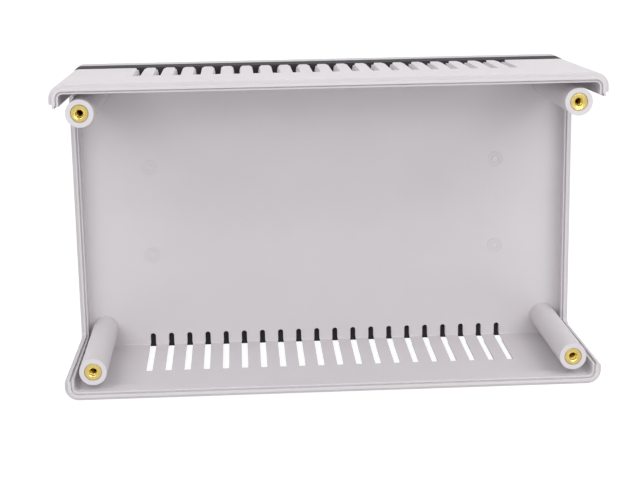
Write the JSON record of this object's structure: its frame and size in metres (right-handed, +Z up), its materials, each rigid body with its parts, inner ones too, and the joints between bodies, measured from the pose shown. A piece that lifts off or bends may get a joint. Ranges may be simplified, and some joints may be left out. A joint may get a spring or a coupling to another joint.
{
  "type": "vented enclosure box",
  "caption": "Open moulded enclosure half with rows of wrap-round vent slots, stepped tongue rim, open ends, round screw posts with brass inserts, and a dark backing tray with rear cover.",
  "frame": {"origin": "centre of the rear cover's flat back, on the surface that the box lies on", "axes": "+X along the length, +Y across the width towards the picture's upper side, +Z up out of the open side"},
  "size_m": [0.218, 0.1274, 0.0896],
  "materials": {
    "light_grey_plastic": "fine satin moulded texture",
    "charcoal_plastic": "fine matt moulded texture",
    "cover_grey_plastic": "fine satin moulded texture",
    "brass": "bright turned"
  },
  "bodies": {
    "root": {"shell": "light_grey_plastic", "backing_tray": "charcoal_plastic", "rear_cover": "cover_grey_plastic", "insert_front_left": "brass", "insert_front_right": "brass", "insert_rear_left": "brass", "insert_rear_right": "brass"}
  },
  "joints": []
}
